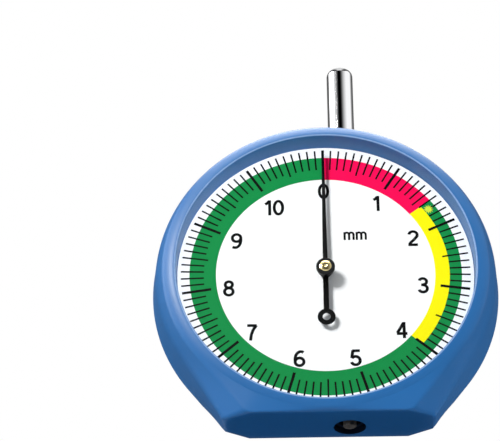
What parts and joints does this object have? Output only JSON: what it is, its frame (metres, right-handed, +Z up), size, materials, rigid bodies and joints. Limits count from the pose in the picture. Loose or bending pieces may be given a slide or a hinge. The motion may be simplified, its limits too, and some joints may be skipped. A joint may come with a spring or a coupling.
{
  "type": "tire tread depth gauge",
  "caption": "Pocket dial gauge for tyre tread depth: a flat foot rests on the tread, a sprung plunger pushes a probe out of it, and a rack and pinion turns the pointer over a millimetre dial.",
  "frame": {"origin": "on the flat of the foot, straight below the dial axis, in the plane of the printed dial face", "axes": "+Z up along the plunger, away from the foot; -Y out of the dial towards the reader; +X to the reader's right"},
  "size_m": [0.0614, 0.0114, 0.073],
  "materials": {
    "blue_plastic": "satin moulded plastic",
    "screw_steel": "plain",
    "clear_crystal": "clear acrylic, polished",
    "white_dial": "printed white, with a green, red and yellow scale ring",
    "brass": "plain",
    "bearing_brass": "polished",
    "spring_steel": "ground",
    "bright_chrome": "polished",
    "black_rubber": "matte",
    "black_paint": "matte black",
    "black_plastic": "matte black"
  },
  "bodies": {
    "case": {"case_body": "blue_plastic", "back_cover": "blue_plastic", "cover_screws": "screw_steel", "crystal": "clear_crystal", "dial_plate": "white_dial", "movement_plate": "brass", "plate_screws": "screw_steel", "bridge_pillars": "brass", "movement_bridge": "brass", "bridge_screws": "screw_steel", "front_staff_bush": "bearing_brass", "rear_staff_bush": "bearing_brass", "upper_guide_bush": "bearing_brass", "lower_guide_bush": "bearing_brass", "guide_channel": "brass", "channel_screws": "screw_steel", "return_spring": "spring_steel"},
    "plunger": {"plunger_rod": "bright_chrome", "probe_pin": "spring_steel", "guide_pin": "spring_steel", "retaining_clip": "spring_steel", "bumper_washer": "black_rubber"},
    "needle": {"pinion": "bearing_brass", "pointer_staff": "spring_steel", "pointer": "black_paint", "pointer_hub": "black_plastic", "hub_cap": "bearing_brass"}
  },
  "joints": [
    {"name": "plunger_slide", "type": "slide", "parent": "case", "child": "plunger", "axis": [0, 0, -1], "range_m": [0, 0.011], "stiffness_N_per_m": 50, "springref_m": -0.012, "deforming": ["return_spring"]},
    {"name": "needle_turn", "type": "hinge", "parent": "case", "child": "needle", "pos_m": [0, 0, 0.0282], "axis": [0, 1, 0], "range_deg": [0, 361]}
  ],
  "couplings": [
    {"joint": "needle_turn", "follows": "plunger_slide", "rad_per_m": 571.2}
  ]
}
